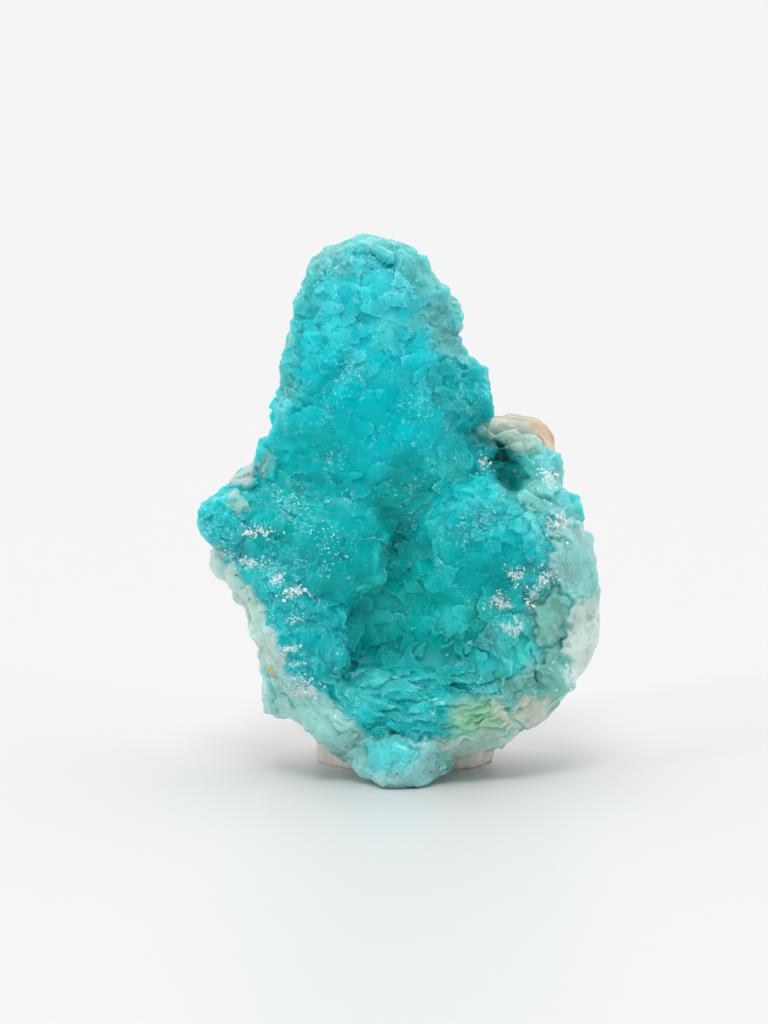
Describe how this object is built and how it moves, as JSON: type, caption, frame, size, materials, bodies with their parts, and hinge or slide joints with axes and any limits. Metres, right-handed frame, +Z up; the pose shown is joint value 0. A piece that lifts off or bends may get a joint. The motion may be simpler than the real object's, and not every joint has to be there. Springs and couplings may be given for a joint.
{
  "type": "smithsonite mineral specimen",
  "caption": "Blue-green smithsonite: a knobbly crystal finger over a hollow bowl of crystals, grown on pale host rock that ends in a flat foot.",
  "frame": {"origin": "middle of the footprint box, on the surface that the piece stands on", "axes": "+Z up along the finger, -Y towards the viewer of the crystal face, +X to that viewer's right"},
  "size_m": [0.0392, 0.0264, 0.0537],
  "materials": {
    "smithsonite": "translucent blue-green crystal, glossy faces, pale grey-green at the thin broken rims",
    "matrix": "matt beige to brown host rock"
  },
  "bodies": {
    "root": {"smithsonite": "smithsonite", "matrix": "matrix"}
  },
  "joints": []
}
